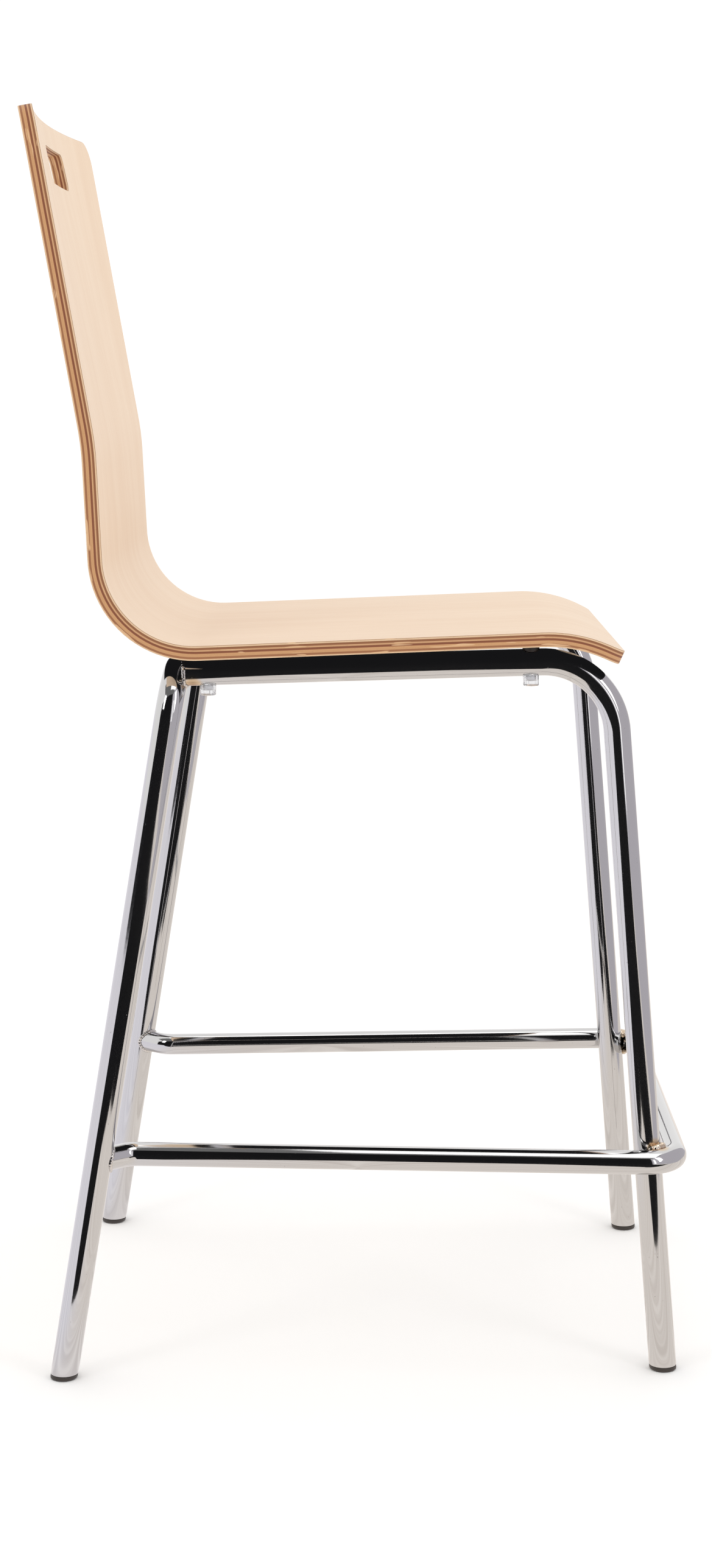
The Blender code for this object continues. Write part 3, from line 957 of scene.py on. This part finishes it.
clear, clear_shader, clear_at = new_finish("clear_plastic", IOR=1.46, Transmission_Weight=0.85)
haze = clear_at.noise(140.0, 2.0)
feed(
    clear_shader,
    Base_Color=haze.blend((0.93, 0.93, 0.94), (0.86, 0.86, 0.88)),
    Roughness=0.06 + haze * 0.14,
    Normal=haze.bumped(0.06, 0.0004),
)

zinc, zinc_shader, zinc_at = new_finish("zinc_steel", Metallic=1.0)
brushed = zinc_at.scaled(1, 1, 0.1).noise(900.0, 2.0)
feed(
    zinc_shader,
    Base_Color=brushed.blend((0.58, 0.58, 0.60), (0.72, 0.72, 0.74)),
    Roughness=0.22 + brushed * 0.2,
    Normal=brushed.bumped(0.1, 0.0002),
)

bead, bead_shader, bead_at = new_finish("weld_metal", Metallic=1.0)
tint = bead_at.noise(180.0, 3.0)
gold = tint.between(0.35, 0.65).blend((0.74, 0.66, 0.56), (0.60, 0.44, 0.29))
feed(
    bead_shader,
    Base_Color=bead_at.part("Y").between(-0.1, 0.05).blend(gold, (0.66, 0.63, 0.60)),
    Roughness=0.08 + tint * 0.2,
    Normal=bead_at.noise(420.0, 3.0).bumped(0.3, 0.0006),
)

# %% [markdown]
# ## Feet
# A moulded plastic glide closes each leg and slides on the floor. On the real chair it is pushed up the tube.
# It is a turned shape, so it starts as a disc, which is extruded upwards and scaled ring by ring like work
# on a lathe. The legs lean, so each glide is then pushed over by its own leg's lean.

# %% Glides
def turned(name, centre, rings, sides=48):
    """A solid turned about an upright axis, from (radius, height) pairs."""
    bpy.ops.object.select_all(action="DESELECT")
    low_radius, low = rings[0]
    at = (centre[0], centre[1], centre[2] + low)
    bpy.ops.mesh.primitive_circle_add(vertices=sides, radius=low_radius, fill_type="NGON", location=at)
    made = settle()
    made.name = name
    made.data.name = name
    bpy.ops.object.mode_set(mode="EDIT")
    bpy.ops.mesh.select_mode(type="FACE")
    bpy.ops.mesh.select_all(action="SELECT")
    for (before, low), (after, high) in zip(rings, rings[1:]):
        extrude((0, 0, high - low))
        share = after / before
        pivot = (centre[0], centre[1], centre[2] + high)
        bpy.ops.transform.resize(value=(share, share, 1), center_override=pivot)
    done()
    recalculate(made)
    return made


GLIDE_EDGE = 0.0018
glide_rings = []
for k in range(9):
    angle = math.radians(90 * k / 8)
    glide_rings.append((LEG_R - GLIDE_EDGE * (1 - math.sin(angle)), GLIDE_EDGE * (1 - math.cos(angle))))
glide_rings += [(LEG_R, 0.0036), (LEG_R - 0.0003, FLOOR_GAP - GAP), (0.0093, FLOOR_GAP - GAP)]
glide_rings += [(0.0091, 0.016), (0.0078, 0.0175)]

glides = []
for row, leg_at in (("front", lambda height: (SIDE_X, front_leg(height))), ("rear", rear_leg)):
    for side, sign in SIDES:
        foot = place(sign * leg_at(0)[0], leg_at(0)[1], 0)
        above = place(sign * leg_at(1)[0], leg_at(1)[1], 1)
        lean = above - foot - Vector((0, 0, 1))
        glide = turned(f"{row}_{side}_foot_glide", foot, glide_rings)
        for vert in glide.data.vertices:
            vert.co += lean * vert.co.z
        smooth(glide, 40)
        dress(glide, black, "black_plastic", f"{row}_{side}_glide")
        glides.append(glide)
report(*glides[:2])

# %% [markdown]
# ## Seat fixings
# Four bolts come up through the rails into threaded inserts in the shell. A clear six-sided cap covers each
# bolt's head and keeps the next chair in a stack from scratching this one. In front, a black spacer fills the
# space between rail and shell. The holes are drilled, and the caps and spacers take the rail's curve, by
# subtracting round bars, which is how they fit on the real chair.

# %% Bolts, caps and spacers
HEAD_R = 0.0048
SOCKET_R = 0.0018
SHANK_R = 0.0030
HOLE_R = 0.0034
CAP_R = 0.0074
CAP_HOLLOW_R = 0.0051
SPACER_R = 0.0070
SPACER_EASED = 0.0004


def drill(obj, at, radius, low, high, sides=40):
    carve(obj, upright("drill", at, radius, low, high, sides))


def bolt(name, at, head_low, head_top, top):
    """A button-head bolt with a hexagon socket."""
    rings = [(0.0020, head_low)]
    for k in range(1, 7):
        angle = math.radians(90 * k / 6)
        rings.append((0.0020 + 0.0028 * math.sin(angle), head_low + 0.0020 * (1 - math.cos(angle))))
    rings += [(HEAD_R, head_top), (SHANK_R, head_top), (SHANK_R, top - 0.0005), (0.0025, top)]
    made = turned(name, (at.x, at.y, 0), rings)
    drill(made, at, SOCKET_R, head_low - 0.001, head_low + 0.0016, sides=6)
    smooth(made)
    return made


def bumper(name, at, tube_bottom, room):
    """A clear hexagonal cap with eased corners, saddled to the rail and hollow over the bolt's head."""
    bpy.ops.object.select_all(action="DESELECT")
    low = tube_bottom - 0.0080
    high = tube_bottom + 0.0035
    bpy.ops.mesh.primitive_cylinder_add(
        vertices=6,
        radius=CAP_R,
        depth=high - low,
        location=(at.x, at.y, (low + high) / 2),
        rotation=(0, 0, math.radians(30)),
    )
    cap = settle()
    cap.name = name
    cap.data.name = name
    edit(cap)
    pick(cap, "edges", lambda e: abs(e.verts[0].co.z - e.verts[1].co.z) > 0.005)
    bpy.ops.mesh.bevel(offset=0.0013, segments=5, affect="EDGES")
    bpy.ops.mesh.select_all(action="DESELECT")
    pick(cap, "edges", lambda e: max(v.co.z for v in e.verts) < low + 0.0001)
    bpy.ops.mesh.bevel(offset=0.0012, segments=5, affect="EDGES")
    done()
    carve(cap, room, keep_cutter=True)
    drill(cap, at, CAP_HOLLOW_R, tube_bottom - 2 * GAP - 0.0030, tube_bottom + 0.005)
    recalculate(cap)
    smooth(cap, 30)
    return cap


# %% Drill and fit
for side, sign in SIDES:
    rail = left_tube if sign < 0 else right_tube
    sleeve = bent_tube(f"{side}_room", side_corners(sign * SIDE_X, RAIL_END), [SIDE_BEND], LEG_R + GAP)
    room = plugged(sleeve, "room")
    for row, forward in zip(("front", "rear"), BOLT_FORWARDS):
        at = place(sign * SIDE_X, forward, 0)
        tube_bottom = rail_z(forward) - LEG_R
        underside = seat_z(forward) - SHELL_T
        head_top = tube_bottom - GAP
        drill(rail, at, HOLE_R, tube_bottom - 0.004, underside)
        screw = bolt(f"{row}_{side}_seat_bolt", at, head_top - 0.0030, head_top, underside + 0.0078)
        dress(screw, zinc, "zinc_steel", f"{row}_{side}_bolt")
        cap = bumper(f"{row}_{side}_clear_cap", at, tube_bottom, room)
        dress(cap, clear, "clear_plastic", f"{row}_{side}_bumper")
        if row == "front":
            rail_middle = tube_bottom + LEG_R
            spacer = upright(f"{row}_{side}_seat_spacer", at, SPACER_R, rail_middle, underside - 2 * GAP, 64)
            edit(spacer)
            pick(spacer, "edges", lambda e: min(v.co.z for v in e.verts) > underside - 3 * GAP)
            bpy.ops.mesh.bevel(offset=SPACER_EASED, segments=3, affect="EDGES")
            done()
            carve(spacer, room, keep_cutter=True)
            drill(spacer, at, HOLE_R, tube_bottom, underside + 0.01)
            smooth(spacer)
            dress(spacer, black, "black_plastic", f"{row}_{side}_spacer")
    bpy.data.objects.remove(sleeve)
    bpy.data.objects.remove(room)
    smooth(rail)
report(screw, cap, spacer)

# %% [markdown]
# ## Welds
# Each joint is a fillet weld laid in small overlapping pools. Where a tube ends on another, the bead is a
# torus fitted round the ending tube, and each of its points slides along that tube until it lies on the
# other one, so it follows the true curve of the joint. The front legs only touch the ring's corners, and a
# short arc of bead fills the crease above and below. The ripples are small changes in the bead's thickness.

# %% Weld beads
RAIL_BEAD_R = 0.0016
RING_BEAD_R = 0.0018
CREASE_BEAD_R = 0.0036
CREASE_RISE = 0.0078


def rippled(angle, count):
    return 1 + 0.07 * math.sin(count * angle) + 0.05 * math.sin(2.3 * count * angle + 1.7)


def joint_bead(name, centre, towards, tube_radius, target, bead_radius, limit):
    """A bead round the end of one tube, pressed onto the tube that it ends on."""
    bpy.ops.object.select_all(action="DESELECT")
    bpy.ops.mesh.primitive_torus_add(
        major_segments=160,
        minor_segments=18,
        major_radius=tube_radius,
        minor_radius=bead_radius,
        location=centre,
        rotation=towards.to_track_quat("Z", "Y").to_euler(),
    )
    made = settle()
    made.name = name
    made.data.name = name
    surface = BVHTree.FromObject(target, bpy.context.evaluated_depsgraph_get())
    side = towards.orthogonal().normalized()
    up = towards.cross(side)
    back = 0.02
    for vert in made.data.vertices:
        offset = vert.co - centre
        flat_offset = offset - towards * offset.dot(towards)
        out = flat_offset.normalized()
        angle = math.atan2(out.dot(up), out.dot(side))
        start = centre + out * tube_radius
        hit = surface.ray_cast(start - towards * back, towards, back + limit)
        slide = hit[3] - back if hit[0] else limit
        vert.co = start + towards * slide + (vert.co - start) * rippled(angle, 26)
    made.data.update()
    smooth(made, 60)
    return made


def crease_bead(name, sign, height):
    """A short arc of bead round a front leg, over or under the ring's corner."""
    leg = place(sign * SIDE_X, front_leg(height), height)
    reach = LEG_R + 0.0018
    bpy.ops.object.select_all(action="DESELECT")
    start = leg + Vector((sign * reach, 0, 0))
    bpy.ops.mesh.primitive_circle_add(
        vertices=18, radius=CREASE_BEAD_R, location=start, rotation=(math.radians(90), 0, 0)
    )
    made = settle()
    made.name = name
    made.data.name = name
    bpy.ops.object.mode_set(mode="EDIT")
    bpy.ops.mesh.select_mode(type="EDGE")
    bpy.ops.mesh.select_all(action="SELECT")
    bpy.ops.mesh.spin(steps=60, angle=sign * math.radians(92), center=leg, axis=(0, 0, 1))
    bpy.ops.mesh.select_all(action="SELECT")
    bpy.ops.mesh.fill_holes(sides=0)
    done()
    for vert in made.data.vertices:
        out = Vector((vert.co.x - leg.x, vert.co.y - leg.y, 0)).normalized()
        turn = math.atan2(-out.y, sign * out.x)
        core = leg + out * reach
        ends = math.sin(math.pi * min(1.0, max(0.0, (turn + 0.03) / 1.66))) ** 0.4
        vert.co = core + (vert.co - core) * (0.15 + 0.85 * ends) * rippled(turn, 13)
    made.data.update()
    recalculate(made)
    smooth(made, 60)
    return made


# %% Lay the beads
for side, sign in SIDES:
    rail_end = place(sign * SIDE_X, RAIL_END, rail_z(RAIL_END))
    along_rail = (rail_end - place(sign * SIDE_X, 0, rail_z(0))).normalized()
    rail_bead = joint_bead(f"{side}_rail_bead", rail_end, along_rail, LEG_R, hoop_solid, RAIL_BEAD_R, 0.0)
    dress(rail_bead, bead, "weld_metal", f"{side}_rail_weld")

    leg_x, leg_forward = rear_leg(RING_Z)
    leg = place(sign * leg_x, leg_forward, RING_Z)
    into_leg = (leg - place(sign * RING_KNEE[0], RING_KNEE[1], RING_Z)).normalized()
    ring_end = leg - into_leg * LEG_R
    ring_bead = joint_bead(f"{side}_ring_bead", ring_end, into_leg, RING_R, hoop_solid, RING_BEAD_R, 0.008)
    dress(ring_bead, bead, "weld_metal", f"rear_{side}_ring_weld")

    for level, up in (("upper", 1), ("lower", -1)):
        crease = crease_bead(f"front_{side}_{level}_bead", sign, RING_Z + up * CREASE_RISE)
        dress(crease, bead, "weld_metal", f"front_{side}_{level}_ring_weld")
report(rail_bead, ring_bead, crease)

# %% [markdown]
# ## Threaded inserts
# The inserts sit inside the plywood, where nobody sees them, so the engineering model's own pieces stay and
# only get their finish.

# %% Inserts
for row in ("front", "rear"):
    for side, _ in SIDES:
        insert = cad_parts[f"{row}_{side}_insert_nut"]
        insert.data.materials.clear()
        insert.data.materials.append(zinc)

# %% [markdown]
# ## Finishing
# The solid hoop was only a cutter, so it goes.

# %% Put the cutter away
bpy.data.objects.remove(hoop_solid)
